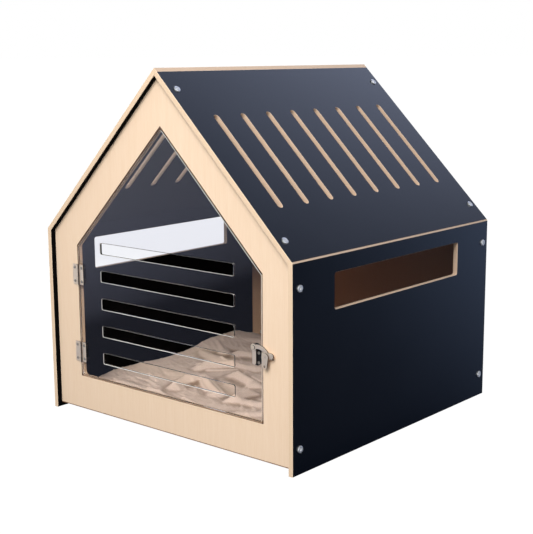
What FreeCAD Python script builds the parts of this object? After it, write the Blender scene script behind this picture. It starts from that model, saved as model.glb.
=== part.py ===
import FreeCAD, Part
import os
from math import cos, radians, sin, sqrt
from FreeCAD import Vector

# Indoor dog crate shaped like a small house.
# All sizes are in millimetres. X is the width, to the right when seen from the front.
# The front faces -Y, and Z is up. The origin is on the floor, under the middle of the crate.

# Walls and roof: plywood faced with dark laminate
house_width = 600.0
house_depth = 604.0
eave_height = 352.0
wall_ply = 9.0
eave_arris = 0.5            # depth of the flat that shows the plywood's core along each eave
panel_chamfer = 0.4         # on every exposed edge of a panel

# Front frame and back panel: plain plywood, set in between the walls
frame_ply = 14.0
frame_recess = 11.0
frame_lift = 8.0            # gap under the frame and the back panel
opening_half_width = 228.0
opening_sill = 73.0
opening_apex = 552.0
opening_corner = 8.0

# Long window in each wall
window_length = 384.0
window_height = 62.0
window_sill = 259.5
window_corner = 4.0

# Vent slots in each roof slope
vent_count = 8
vent_pitch = 67.8
vent_width = 12.0
vent_length = 206.0
vent_centre_down = 215.0    # from the ridge, down the slope

# Furniture bolts and the barrel nuts that they pull on
bolt_radius = 3.0
bolt_length = 42.0
bolt_head_radius = 6.2
bolt_head_height = 2.4
bolt_socket_flats = 4.0
bolt_socket_depth = 1.8
bolt_edge = frame_recess + frame_ply / 2
wall_bolt_heights = (43.5, 309.5)
roof_bolt_downs = (50.5, 381.5)
barrel_radius = 5.0
barrel_length = 11.0
barrel_depth = 36.0         # from the outside of the wall to the nut's centre
barrel_set_back = 0.3       # below the panel's inner face
barrel_hole_spare = 0.5     # the hole is this much deeper than the nut is long
barrel_slot_width = 1.4
barrel_slot_depth = 1.2
drill_clearance = 0.1       # on the radius of every drilled hole
running_clearance = 0.05    # on the radius round every pin that turns
thread_clearance = 0.03     # on the radius round every thread
overcut = 1.0               # how far a cutter stands out of what it cuts

# Floor and the battens under it
floor_ply = 9.0
floor_underside = 17.0
floor_gap = 0.5
cleat_width = 18.0
cleat_height = 14.0
cleat_screw_places = (-200.0, 0.0, 200.0)
cleat_end_gap = 2.0
cleat_screw_length = 24.0
cleat_screw_radius = 1.75
cleat_screw_head_radius = 3.4
cleat_screw_head_height = 2.4

# Clear door, flush with the front frame
door_gap = 2.0
door_thickness = 5.0
door_slot_count = 5
door_slot_half_length = 165.0
door_slot_height = 21.0
door_slot_pitch = 52.0
door_lowest_slot = 106.0
door_slot_corner = 3.0

# Butt hinges
hinge_height = 38.0
hinge_centres = {"upper": 269.5, "lower": 120.0}
hinge_leaf = 1.0
hinge_knuckles = 5
hinge_knuckle_radius = 2.2
hinge_knuckle_gap = 0.1     # at each end of a knuckle
hinge_knuckle_relief = 0.4  # between a knuckle and the leaf cut out round it
hinge_pin_radius = 1.0
hinge_pin_head_radius = 1.9
hinge_pin_head_height = 0.6
hinge_frame_reach = 15.0
hinge_door_reach = 13.5
hinge_screw_offset = 13.0   # above and below the hinge's middle
hinge_screw_reach = 9.5     # from the pin to the screws, on both leaves

# Small screws and nuts
screw_radius = 1.5
screw_head_radius = 2.7
screw_head_height = 1.3
screw_recess_reach = 1.5
screw_recess_half_width = 0.3
screw_recess_depth = 0.7
wood_screw_length = 12.0
wood_screw_point = 3.0      # length of the taper at the tip
machine_screw_length = 12.0
nut_across_flats = 5.5
nut_height = 2.4

# Latch: base on the door, arm, keeper on the frame and the drop-shaped turn button
latch_plate = 1.5
latch_rounding = 0.4
latch_base_centre = (217.0, 190.0)
latch_base_half_width = 8.2
latch_base_half_height = 19.0
latch_rib_x = 213.75
latch_rib_half_width = 4.25
latch_rib_inset = 1.5       # from the ends of the plate
latch_rib_height = 5.0
latch_screw_x = 221.3
latch_screw_heights = (193.0, 176.5)
arm_pivot = (214.0, 202.5)
arm_eye_radius = 6.2
arm_bow_centre = (224.0, 183.0)
arm_bow_radii = (18.0, 25.5)
arm_bow_angles = (20.0, 108.0)
arm_foot = ((236.5, 192.5), (251.5, 193.0))
arm_foot_radius = 4.8
arm_thickness = 2.0
arm_gap = 0.1
arm_rivet_depth = 1.5       # where the rivet starts, in front of the door's face
arm_rivet_head_radius = 3.6
arm_rivet_head_height = 1.3
post = (240.0, 190.0)
post_radius = 2.0
post_clearance = 0.5
post_collar_radius = 3.0
post_collar_height = 0.8
keeper_half_length = 11.0
keeper_half_height = 5.5
keeper_screw_offset = 7.0
button_radius = 7.0
button_drop = 14.0
button_foot_radius = 5.0
button_thickness = 2.0
button_hole_radius = 1.9
button_hole_drop = 1.0      # below the foot's centre
button_gap = 0.2            # in front of the arm, and on each side of the button
button_rivet_radius = 1.0
button_rivet_head_radius = 1.7
button_rivet_head_height = 0.5

# Blanket: heights of its top along the depth of the crate, from the front frame to the back panel
blanket_clearance = 1.5
blanket_stations = (0.0, 0.17, 0.36, 0.56, 0.64, 0.78, 0.92, 1.0)
blanket_edge_heights = (8.0, 12.0, 16.0, 16.0, 26.0, 28.0, 24.0, 9.0)
blanket_crown = 7.0

half_width = house_width / 2
inner_half_width = half_width - wall_ply
front = -house_depth / 2
ridge_height = eave_height + half_width
inner_eave_height = eave_height + wall_ply - wall_ply * sqrt(2)
inner_ridge_height = ridge_height - wall_ply * sqrt(2)
frame_face = front + frame_recess
frame_rear = frame_face + frame_ply
back_inner_face = -frame_rear
floor_top = floor_underside + floor_ply
sides = {"left": -1, "right": 1}
X = Vector(1, 0, 0)
Y = Vector(0, 1, 0)
Z = Vector(0, 0, 1)


def save(name, *solids):
    shape = solids[0] if len(solids) == 1 else Part.makeCompound(list(solids))
    shape.exportStep("parts/" + name + ".step")


def box(x0, x1, y0, y1, z0, z1):
    return Part.makeBox(x1 - x0, y1 - y0, z1 - z0, Vector(x0, y0, z0))


def rod(start, direction, radius, length):
    return Part.makeCylinder(radius, length, start, direction)


def prism(outline, y0, length):
    """A solid with an outline of (x, z) points and an even thickness along Y."""
    points = [Vector(x, y0, z) for x, z in outline]
    return Part.Face(Part.makePolygon(points + points[:1])).extrude(Vector(0, length, 0))


def obround(start, end, radius, through):
    """A bar with round ends between two centres, extruded along the vector through."""
    run = (end - start).normalize()
    aside = Vector(through).normalize().cross(run) * radius
    ahead = run * radius
    edges = [
        Part.LineSegment(start + aside, end + aside).toShape(),
        Part.Arc(end + aside, end + ahead, end - aside).toShape(),
        Part.LineSegment(end - aside, start - aside).toShape(),
        Part.Arc(start - aside, start - ahead, start + aside).toShape(),
    ]
    return Part.Face(Part.Wire(edges)).extrude(through)


def hexagon(centre, direction, across_flats, length):
    """A six-sided prism that stands on centre and points along direction."""
    direction = Vector(direction).normalize()
    first = direction.cross(Z if abs(direction.z) < 0.9 else Y).normalize()
    second = direction.cross(first)
    reach = across_flats / sqrt(3)
    corners = [centre + first * reach * cos(radians(a)) + second * reach * sin(radians(a))
               for a in range(0, 360, 60)]
    return Part.Face(Part.makePolygon(corners + corners[:1])).extrude(direction * length)


def edges_along(solid, direction):
    """The straight edges of a solid that run along a direction."""
    found = []
    for edge in solid.Edges:
        if isinstance(edge.Curve, Part.Line) and abs(abs(edge.Curve.Direction.dot(direction)) - 1) < 1e-6:
            found.append(edge)
    return found


def rounded(solid, direction, radius):
    return solid.makeFillet(radius, edges_along(solid, direction))


def rims(solid, normal):
    """All edges round the flat faces that look along a direction or against it."""
    found = []
    for face in solid.Faces:
        if isinstance(face.Surface, Part.Plane) and abs(abs(face.normalAt(0, 0).dot(normal)) - 1) < 1e-6:
            found += face.Edges
    return found


def front_circles(solid, y):
    """The round edges of a solid that lie in front of a depth y."""
    return [edge for edge in solid.Edges
            if isinstance(edge.Curve, Part.Circle) and edge.Curve.Center.y < y]


def on_slope(side, down, depth=0.0):
    """(x, z) at a distance down the slope from the ridge, and at a depth under its outer face."""
    return side * (down - depth) / sqrt(2), ridge_height - (down + depth) / sqrt(2)


def slope_vectors(side):
    down = Vector(side, 0, -1).normalize()
    inward = Vector(-side, 0, -1).normalize()
    return down, inward


def eave_points(side):
    """The eave's corners: on the wall's face, on the flat, on the roof's face and inside."""
    back_off = eave_arris / cos(radians(67.5))
    on_wall = (side * half_width, eave_height - back_off)
    on_flat = (side * (half_width - eave_arris * cos(radians(22.5))),
               eave_height - eave_arris * sin(radians(22.5)))
    on_roof = (side * (half_width - back_off / sqrt(2)), eave_height + back_off / sqrt(2))
    inside = (side * inner_half_width, inner_eave_height)
    return on_wall, on_flat, on_roof, inside


def bolt_places(side):
    """Where the bolts of one side enter: (point on the outer face, direction inwards)."""
    inward = slope_vectors(side)[1]
    rows = (front + bolt_edge, -front - bolt_edge)
    wall = [(Vector(side * half_width, y, z), Vector(-side, 0, 0))
            for y in rows for z in wall_bolt_heights]
    roof = []
    for y in rows:
        for distance in roof_bolt_downs:
            x, z = on_slope(side, distance)
            roof.append((Vector(x, y, z), inward))
    return wall, roof


def drilled(panel, places):
    """A panel with a clearance hole for each bolt."""
    for point, inward in places:
        hole = rod(point - inward * overcut, inward, bolt_radius + drill_clearance,
                   bolt_length + 3 * overcut)
        panel = panel.cut(hole)
    return panel


def all_bolt_places():
    return [place for side in sides.values() for group in bolt_places(side) for place in group]


def make_wall(side):
    on_wall, on_flat, _, inside = eave_points(side)
    outline = [(side * inner_half_width, 0), (side * half_width, 0), on_wall, on_flat, inside]
    wall = prism(outline, front, house_depth)
    inner, outer = sorted((side * (inner_half_width - overcut), side * (half_width + overcut)))
    window = box(inner, outer, -window_length / 2, window_length / 2,
                 window_sill, window_sill + window_height)
    wall = wall.cut(rounded(window, X, window_corner))
    exposed = [edge for edge in rims(wall, X) if edge.BoundBox.ZMin < inner_eave_height - overcut]
    wall = wall.makeChamfer(panel_chamfer, exposed)
    wall = drilled(wall, bolt_places(side)[0])
    for y in cleat_screw_places:
        wall = wall.cut(cleat_screw(side, y, drill_clearance))
    return wall


def vent_slots(side):
    """Cutters for the vent slots of one slope."""
    down, inward = slope_vectors(side)
    straight = vent_length - vent_width
    cutters = []
    for number in range(vent_count):
        y = (number - (vent_count - 1) / 2) * vent_pitch
        top_x, top_z = on_slope(side, vent_centre_down - straight / 2, -overcut)
        top = Vector(top_x, y, top_z)
        through = inward * (wall_ply + 2 * overcut)
        cutters.append(obround(top, top + down * straight, vent_width / 2, through))
    return cutters


def make_roof(side):
    """One slope. The left one covers the end of the right one along the ridge."""
    _, on_flat, on_roof, inside = eave_points(side)
    if side < 0:
        top = [on_slope(1, wall_ply), (0, ridge_height)]
    else:
        top = [(0, inner_ridge_height), on_slope(1, wall_ply)]
    roof = prism(top + [on_roof, on_flat, inside], front, house_depth)
    roof = roof.cut(Part.makeCompound(vent_slots(side)))
    joint_edges = edges_along(roof, Y)
    exposed = [edge for edge in rims(roof, slope_vectors(side)[1])
               if not any(edge.isSame(joint) for joint in joint_edges)]
    roof = roof.makeChamfer(panel_chamfer, exposed)
    return drilled(roof, bolt_places(side)[1])


def gable_outline():
    """The house-shaped outline of the front frame and of the back panel."""
    return [(-inner_half_width, frame_lift), (inner_half_width, frame_lift),
            (inner_half_width, inner_eave_height), (0, inner_ridge_height),
            (-inner_half_width, inner_eave_height)]


def doorway_outline(inset):
    """The doorway's outline, drawn in by an inset all round."""
    reach = opening_half_width - inset
    apex = opening_apex - inset * sqrt(2)
    sill = opening_sill + inset
    return [(-reach, sill), (reach, sill), (reach, apex - reach), (0, apex), (-reach, apex - reach)]


def barrel_start(point, inward, inner_face, facing):
    """The open end of a barrel nut's hole, on the panel's inner face."""
    centre = point + inward * barrel_depth
    return Vector(centre.x, inner_face, centre.z), Vector(0, -facing, 0)


def with_bolt_holes(panel, inner_face, outer_face):
    """A gable panel with its holes for bolts and barrel nuts. Its inner face is towards the pet."""
    facing = 1 if inner_face > outer_face else -1
    middle = (inner_face + outer_face) / 2
    places = [place for place in all_bolt_places() if abs(place[0].y - middle) < frame_ply]
    panel = drilled(panel, places)
    for point, inward in places:
        start, into = barrel_start(point, inward, inner_face, facing)
        panel = panel.cut(rod(start, into, barrel_radius + drill_clearance,
                              barrel_length + barrel_hole_spare))
    return panel


def make_back_panel():
    panel = prism(gable_outline(), back_inner_face, frame_ply)
    return with_bolt_holes(panel, back_inner_face, -frame_face)


def make_front_frame():
    frame = prism(gable_outline(), frame_face, frame_ply)
    doorway = prism(doorway_outline(0), frame_face - overcut, frame_ply + 2 * overcut)
    doorway = rounded(doorway, Y, opening_corner)
    frame = frame.cut(doorway)
    inside_doorway = [edge for edge in rims(frame, Y) if doorway.BoundBox.isInside(edge.BoundBox)]
    frame = frame.makeChamfer(panel_chamfer, inside_doorway)
    frame = with_bolt_holes(frame, frame_rear, frame_face)
    for point in hinge_screw_points(-1) + keeper_screw_points():
        hole = rod(point - Y * overcut, Y, screw_radius + drill_clearance, wood_screw_length + 2 * overcut)
        frame = frame.cut(hole)
    return frame


def make_bolt(point, inward):
    """A furniture bolt with a low domed head and a hexagonal socket."""
    outward = inward * -1
    head = rod(point, outward, bolt_head_radius, bolt_head_height)
    rim = [e for e in head.Edges if isinstance(e.Curve, Part.Circle)
           and (e.Curve.Center - point).Length > bolt_head_height / 2]
    head = head.makeFillet(bolt_head_height * 0.45, rim)
    socket_floor = point + outward * (bolt_head_height - bolt_socket_depth)
    socket = hexagon(socket_floor, outward, bolt_socket_flats, bolt_socket_depth + overcut)
    return head.fuse(rod(point, inward, bolt_radius, bolt_length)).removeSplitter().cut(socket)


def make_barrel_nut(point, inward):
    """A barrel nut with a cross hole for the bolt and a screwdriver slot in its open end."""
    inner_face, facing = (frame_rear, 1) if point.y < 0 else (back_inner_face, -1)
    start, into = barrel_start(point, inward, inner_face, facing)
    start = start + into * barrel_set_back
    nut = rod(start, into, barrel_radius, barrel_length)
    nut = nut.cut(rod(point, inward, bolt_radius + thread_clearance, barrel_depth + 2 * barrel_radius))
    reach = barrel_radius + overcut
    half = barrel_slot_width / 2
    low, high = sorted((start.y + facing * overcut, start.y + into.y * barrel_slot_depth))
    return nut.cut(box(start.x - reach, start.x + reach, low, high, start.z - half, start.z + half))


def cleat_screw(side, y, clearance=0.0):
    """A countersunk screw through a batten into the wall."""
    inner = side * (inner_half_width - cleat_width)
    place = Vector(inner, y, floor_underside - cleat_height / 2)
    outward = Vector(side, 0, 0)
    head = Part.makeCone(cleat_screw_head_radius + clearance, cleat_screw_radius + clearance,
                         cleat_screw_head_height, place, outward)
    shank = rod(place, outward, cleat_screw_radius + clearance, cleat_screw_length)
    return head.fuse(shank).removeSplitter()


def make_cleat(side):
    x0, x1 = sorted((side * (inner_half_width - cleat_width), side * inner_half_width))
    cleat = box(x0, x1, frame_rear + cleat_end_gap, back_inner_face - cleat_end_gap,
                floor_underside - cleat_height, floor_underside)
    for y in cleat_screw_places:
        cleat = cleat.cut(cleat_screw(side, y, drill_clearance))
    return cleat


def make_floor():
    reach = inner_half_width - floor_gap
    return box(-reach, reach, frame_rear + floor_gap, back_inner_face - floor_gap, floor_underside, floor_top)


def make_door():
    """The clear door: the doorway's outline with a gap all round, and five long slots."""
    door = rounded(prism(doorway_outline(door_gap), frame_face, door_thickness), Y,
                   opening_corner - door_gap)
    for number in range(door_slot_count):
        low = door_lowest_slot + number * door_slot_pitch
        slot = box(-door_slot_half_length, door_slot_half_length, frame_face - overcut,
                   frame_face + door_thickness + overcut, low, low + door_slot_height)
        door = door.cut(rounded(slot, Y, door_slot_corner))
    door = door.makeChamfer(panel_chamfer, rims(door, Y))
    for point in hinge_screw_points(1) + latch_screw_points():
        hole = rod(point - Y * overcut, Y, screw_radius + drill_clearance, door_thickness + 2 * overcut)
        door = door.cut(hole)
    return door


def hinge_axis():
    """(x, y) of the hinge pins: over the gap at the left edge of the door, in front of the frame."""
    return -opening_half_width + door_gap / 2, frame_face - hinge_knuckle_radius


def hinge_screw_points(side):
    """Screw centres on the frame's face (side -1) or on the door's face (side 1)."""
    x, _ = hinge_axis()
    return [Vector(x + side * hinge_screw_reach, frame_face, centre + offset)
            for centre in hinge_centres.values() for offset in (-hinge_screw_offset, hinge_screw_offset)]


def make_hinge_leaf(centre, side):
    """A leaf with its share of the five knuckles: three on the frame (side -1), two on the door (side 1)."""
    x, y = hinge_axis()
    low = centre - hinge_height / 2
    knuckle = hinge_height / hinge_knuckles
    gap = hinge_knuckle_gap
    reach = hinge_frame_reach if side < 0 else hinge_door_reach
    x0, x1 = sorted((x, x + side * reach))
    leaf = box(x0, x1, frame_face - hinge_leaf, frame_face, low, low + hinge_height)
    for number in range(hinge_knuckles):
        start = low + number * knuckle
        on_frame = number % 2 == 0
        if on_frame == (side < 0):
            leaf = leaf.fuse(rod(Vector(x, y, start + gap), Z, hinge_knuckle_radius, knuckle - 2 * gap))
        else:
            clear = hinge_knuckle_radius + hinge_knuckle_relief
            leaf = leaf.cut(box(x - clear, x + clear, y - clear, frame_face + overcut, start - gap,
                                start + knuckle + gap))
    bore = rod(Vector(x, y, low - overcut), Z, hinge_pin_radius + running_clearance,
               hinge_height + 2 * overcut)
    leaf = leaf.removeSplitter().cut(bore)
    for point in hinge_screw_points(side):
        hole_start = point - Y * (hinge_leaf + overcut)
        leaf = leaf.cut(rod(hole_start, Y, screw_radius + drill_clearance, hinge_leaf + 2 * overcut))
    return leaf


def make_hinge_pin(centre):
    """The pin, with a low head at each end."""
    x, y = hinge_axis()
    low = centre - hinge_height / 2
    pin = rod(Vector(x, y, low), Z, hinge_pin_radius, hinge_height)
    for start in (low - hinge_pin_head_height, low + hinge_height):
        pin = pin.fuse(rod(Vector(x, y, start), Z, hinge_pin_head_radius, hinge_pin_head_height))
    return pin.removeSplitter()


def pan_head(point):
    """A round screw head in front of point, with a cross recess. It faces the front."""
    head = rod(point, Y * -1, screw_head_radius, screw_head_height)
    rim = front_circles(head, point.y - screw_head_height / 2)
    head = head.makeFillet(screw_head_height * 0.7, rim)
    face = point.y - screw_head_height
    arms = (screw_recess_reach, screw_recess_half_width)
    for across, up in (arms, arms[::-1]):
        head = head.cut(box(point.x - across, point.x + across, face - overcut, face + screw_recess_depth,
                            point.z - up, point.z + up))
    return head


def make_wood_screw(point, plate):
    """A pointed screw whose head bears on a plate in front of the frame's face."""
    seat = point - Y * plate
    straight = wood_screw_length - wood_screw_point
    shank = rod(seat, Y, screw_radius, straight)
    tip = Part.makeCone(screw_radius, screw_radius / 8, wood_screw_point, seat + Y * straight, Y)
    return pan_head(seat).fuse(shank).fuse(tip).removeSplitter()


def make_machine_screw(point, plate):
    """A straight screw through the clear door, whose tail stands out behind the nut."""
    seat = point - Y * plate
    return pan_head(seat).fuse(rod(seat, Y, screw_radius, machine_screw_length + plate)).removeSplitter()


def make_nut(point):
    """A small hexagonal nut on the back of the clear door."""
    start = point + Y * door_thickness
    nut = hexagon(start, Y, nut_across_flats, nut_height)
    bore = rod(start - Y * overcut, Y, screw_radius + thread_clearance, nut_height + 2 * overcut)
    return nut.cut(bore)


def latch_screw_points():
    return [Vector(latch_screw_x, frame_face, z) for z in latch_screw_heights]


def keeper_screw_points():
    return [Vector(post[0] + side * keeper_screw_offset, frame_face, post[1]) for side in (-1, 1)]


def arm_front():
    return frame_face - latch_rib_height - arm_gap - arm_thickness


def softened(solid, front_offset):
    """A part of the latch with the rim of its front face rounded. The offset is from the frame's face."""
    y = frame_face + front_offset
    rim = [edge for edge in solid.Edges if abs(edge.BoundBox.YMax - y) < 1e-3]
    return solid.makeFillet(latch_rounding, rim)


def make_latch_base():
    """An upright oval plate with a raised rib along its left side."""
    x, z = latch_base_centre
    straight = latch_base_half_height - latch_base_half_width
    plate = obround(Vector(x, frame_face, z - straight), Vector(x, frame_face, z + straight),
                    latch_base_half_width, Y * -latch_plate)
    rib_straight = latch_base_half_height - latch_rib_half_width - latch_rib_inset
    rib = obround(Vector(latch_rib_x, frame_face, z - rib_straight),
                  Vector(latch_rib_x, frame_face, z + rib_straight),
                  latch_rib_half_width, Y * -latch_rib_height)
    base = softened(plate, -latch_plate).fuse(softened(rib, -latch_rib_height)).removeSplitter()
    for point in latch_screw_points():
        hole_start = point - Y * (latch_plate + overcut)
        base = base.cut(rod(hole_start, Y, screw_radius + drill_clearance, latch_plate + 2 * overcut))
    hole_start = Vector(arm_pivot[0], frame_face - latch_rib_height - overcut, arm_pivot[1])
    hole_length = latch_rib_height - arm_rivet_depth + overcut
    return base.cut(rod(hole_start, Y, post_radius + thread_clearance, hole_length))


def make_arm_rivet():
    """The arm's pivot: a shank in the base's rib, under a domed head."""
    x, z = arm_pivot
    back = Vector(x, frame_face - arm_rivet_depth, z)
    shank_length = back.y - arm_front() + arm_gap
    rivet = rod(back, Y * -1, post_radius, shank_length)
    head_start = Vector(x, back.y - shank_length, z)
    head = rod(head_start, Y * -1, arm_rivet_head_radius, arm_rivet_head_height)
    rim = front_circles(head, head_start.y - arm_rivet_head_height / 2)
    return rivet.fuse(head.makeFillet(arm_rivet_head_height * 0.75, rim)).removeSplitter()


def make_latch_arm():
    """The bowed arm: an eye on the pivot, a bow, and a foot with a notch for the keeper's post."""
    y = arm_front()
    through = Y * arm_thickness
    eye = rod(Vector(arm_pivot[0], y, arm_pivot[1]), Y, arm_eye_radius, arm_thickness)
    centre = Vector(arm_bow_centre[0], y, arm_bow_centre[1])
    inner, outer = arm_bow_radii
    low, high = arm_bow_angles

    def at(radius, angle):
        return centre + Vector(radius * cos(radians(angle)), 0, radius * sin(radians(angle)))

    middle = (low + high) / 2
    bow = Part.Face(Part.Wire([
        Part.Arc(at(inner, low), at(inner, middle), at(inner, high)).toShape(),
        Part.LineSegment(at(inner, high), at(outer, high)).toShape(),
        Part.Arc(at(outer, high), at(outer, middle), at(outer, low)).toShape(),
        Part.LineSegment(at(outer, low), at(inner, low)).toShape(),
    ])).extrude(through)
    foot = obround(*[Vector(x, y, z) for x, z in arm_foot], arm_foot_radius, through)
    arm = eye.fuse([bow, foot]).removeSplitter()
    for cutter in arm_notch(y - overcut):
        arm = arm.cut(cutter)
    arm = softened(arm, y - frame_face)
    bore_start = Vector(arm_pivot[0], y - overcut, arm_pivot[1])
    return arm.cut(rod(bore_start, Y, post_radius + running_clearance, arm_thickness + 2 * overcut))


def arm_notch(y):
    """What the post sweeps out of the arm's foot as the arm lifts."""
    pivot = Vector(arm_pivot[0], y, arm_pivot[1])
    centre = Vector(post[0], y, post[1])
    reach = (centre - pivot).Length
    radius = post_radius + post_clearance
    depth = arm_thickness + 2 * overcut
    room = 3 * arm_foot_radius
    ring = rod(pivot, Y, reach + radius, depth).cut(rod(pivot, Y, reach - radius, depth))
    below = box(post[0] - room, post[0] + room, y, y + depth, post[1] - room, post[1])
    return ring.common(below), rod(centre, Y, radius, depth)


def make_keeper_plate():
    x, z = post
    straight = keeper_half_length - keeper_half_height
    plate = obround(Vector(x - straight, frame_face, z), Vector(x + straight, frame_face, z),
                    keeper_half_height, Y * -latch_plate)
    plate = softened(plate, -latch_plate)
    for point in keeper_screw_points():
        hole_start = point - Y * (latch_plate + overcut)
        plate = plate.cut(rod(hole_start, Y, screw_radius + drill_clearance, latch_plate + 2 * overcut))
    return plate


def make_keeper_post():
    """The post on the keeper plate, with the thin rivet that carries the turn button."""
    x, z = post
    foot = Vector(x, frame_face - latch_plate, z)
    neck_end = arm_front() - button_gap
    collar = rod(foot, Y * -1, post_collar_radius, post_collar_height)
    body = collar.fuse(rod(foot, Y * -1, post_radius, foot.y - neck_end))
    pin_length = button_thickness + button_gap
    pin = rod(Vector(x, neck_end, z), Y * -1, button_rivet_radius, pin_length + button_rivet_head_height)
    head = rod(Vector(x, neck_end - pin_length, z), Y * -1, button_rivet_head_radius,
               button_rivet_head_height)
    return body.fuse([pin, head]).removeSplitter()


def make_turn_button():
    """A drop-shaped button that hangs from the post: broad at the post, with a hole in its narrower foot."""
    x, z = post
    y = arm_front() - button_gap * 1.5
    foot_z = z - button_drop
    lean = (button_foot_radius - button_radius) / button_drop
    rise = sqrt(1 - lean * lean)

    def flank(side, radius, height):
        return x + side * radius * rise, height + radius * lean

    sides = [flank(-1, button_foot_radius, foot_z), flank(-1, button_radius, z),
             flank(1, button_radius, z), flank(1, button_foot_radius, foot_z)]
    ends = [rod(Vector(x, y, height), Y * -1, radius, button_thickness)
            for height, radius in ((z, button_radius), (foot_z, button_foot_radius))]
    button = prism(sides, y, -button_thickness).fuse(ends).removeSplitter()
    button = softened(button, y - button_thickness - frame_face)
    holes = ((z, button_rivet_radius + running_clearance), (foot_z - button_hole_drop, button_hole_radius))
    for height, radius in holes:
        hole_start = Vector(x, y + overcut, height)
        button = button.cut(rod(hole_start, Y * -1, radius, button_thickness + 2 * overcut))
    return button


def make_blanket():
    """The soft blanket as one low solid whose top rises towards the back."""
    reach = inner_half_width - blanket_clearance
    start = frame_rear + blanket_clearance
    length = back_inner_face - blanket_clearance - start
    sections = []
    for station, height in zip(blanket_stations, blanket_edge_heights):
        y = start + station * length
        edge = floor_top + height
        top = [(reach, edge), (reach * 0.55, edge + blanket_crown * 0.8), (0, edge + blanket_crown * 0.5),
               (-reach * 0.5, edge + blanket_crown), (-reach, edge)]
        outline = [(-reach, floor_top), (reach, floor_top)] + top
        points = [Vector(x, y, z) for x, z in outline]
        sections.append(Part.makePolygon(points + points[:1]))
    return Part.makeLoft(sections, True, True)


def save_house():
    for name, side in sides.items():
        save(name + "_wall", make_wall(side))
        save(name + "_roof", make_roof(side))
        wall_places, roof_places = bolt_places(side)
        save("wall_bolts_" + name, *[make_bolt(*place) for place in wall_places])
        save("roof_bolts_" + name, *[make_bolt(*place) for place in roof_places])
        save("floor_cleat_" + name, make_cleat(side))
    save("front_frame", make_front_frame())
    save("back_panel", make_back_panel())
    save("floor_panel", make_floor())
    save("cleat_screws", *[cleat_screw(side, y) for side in sides.values() for y in cleat_screw_places])
    nuts = {"front": [], "back": []}
    for point, inward in all_bolt_places():
        nuts["front" if point.y < 0 else "back"].append(make_barrel_nut(point, inward))
    for name, group in nuts.items():
        save("barrel_nuts_" + name, *group)


def save_door():
    save("door_panel", make_door())
    for name, centre in hinge_centres.items():
        save(name + "_hinge_frame_leaf", make_hinge_leaf(centre, -1))
        save(name + "_hinge_door_leaf", make_hinge_leaf(centre, 1))
        save(name + "_hinge_pin", make_hinge_pin(centre))
    save("hinge_wood_screws", *[make_wood_screw(p, hinge_leaf) for p in hinge_screw_points(-1)])
    save("hinge_machine_screws", *[make_machine_screw(p, hinge_leaf) for p in hinge_screw_points(1)])
    save("hinge_nuts", *[make_nut(p) for p in hinge_screw_points(1)])


def save_latch():
    save("latch_base", make_latch_base())
    save("latch_base_screws", *[make_machine_screw(p, latch_plate) for p in latch_screw_points()])
    save("latch_base_nuts", *[make_nut(p) for p in latch_screw_points()])
    save("latch_arm", make_latch_arm())
    save("latch_arm_rivet", make_arm_rivet())
    save("keeper_plate", make_keeper_plate())
    save("keeper_screws", *[make_wood_screw(p, latch_plate) for p in keeper_screw_points()])
    save("keeper_post", make_keeper_post())
    save("turn_button", make_turn_button())


os.makedirs("parts", exist_ok=True)
save_house()
save_door()
save_latch()
save("blanket", make_blanket())
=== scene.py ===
from math import cos, exp, pi, radians, sin, sqrt

import bpy
from mathutils import Matrix, Vector, noise


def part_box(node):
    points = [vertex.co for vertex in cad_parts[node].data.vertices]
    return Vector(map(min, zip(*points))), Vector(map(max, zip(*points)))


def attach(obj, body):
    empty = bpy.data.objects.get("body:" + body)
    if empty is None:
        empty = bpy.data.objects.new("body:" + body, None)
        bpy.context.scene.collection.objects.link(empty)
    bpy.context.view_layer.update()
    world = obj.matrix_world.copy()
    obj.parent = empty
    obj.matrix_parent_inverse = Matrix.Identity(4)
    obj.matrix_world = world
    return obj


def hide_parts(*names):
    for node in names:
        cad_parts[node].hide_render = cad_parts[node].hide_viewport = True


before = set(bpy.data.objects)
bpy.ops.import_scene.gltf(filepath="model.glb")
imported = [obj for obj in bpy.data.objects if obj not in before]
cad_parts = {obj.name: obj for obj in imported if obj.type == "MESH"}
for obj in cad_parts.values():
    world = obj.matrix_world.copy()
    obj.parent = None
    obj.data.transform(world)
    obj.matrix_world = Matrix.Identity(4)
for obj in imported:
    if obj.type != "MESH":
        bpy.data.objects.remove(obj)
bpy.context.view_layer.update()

MM = 0.001


# Studio: a white floor and a plain room, a soft key lamp high in front of the crate and a weaker one from
# behind the roof. The camera stands where the photograph was taken, about level with the ridge.
colour_mix = {"data_type": "RGBA"}


def linear(hex_colour):
    """An sRGB hex colour as the linear RGBA that shaders take."""
    values = [int(hex_colour[i:i + 2], 16) / 255 for i in (1, 3, 5)]
    return tuple(v / 12.92 if v <= 0.04045 else ((v + 0.055) / 1.055) ** 2.4 for v in values) + (1.0,)


def add_node(tree, kind, settings=None, inputs=None):
    """Adds one node with its settings, and with values or other nodes' sockets at its inputs."""
    node = tree.nodes.new("ShaderNode" + kind)
    for name, value in (settings or {}).items():
        setattr(node, name, value)
    for name, value in (inputs or {}).items():
        if isinstance(value, bpy.types.NodeSocket):
            tree.links.new(value, node.inputs[name])
        else:
            node.inputs[name].default_value = value
    return node


def new_material(name):
    """An empty material: its node tree and the output that its shader goes to."""
    material = bpy.data.materials.new(name)
    material.use_nodes = True
    material.node_tree.nodes.clear()
    return material, material.node_tree, add_node(material.node_tree, "OutputMaterial")


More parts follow.
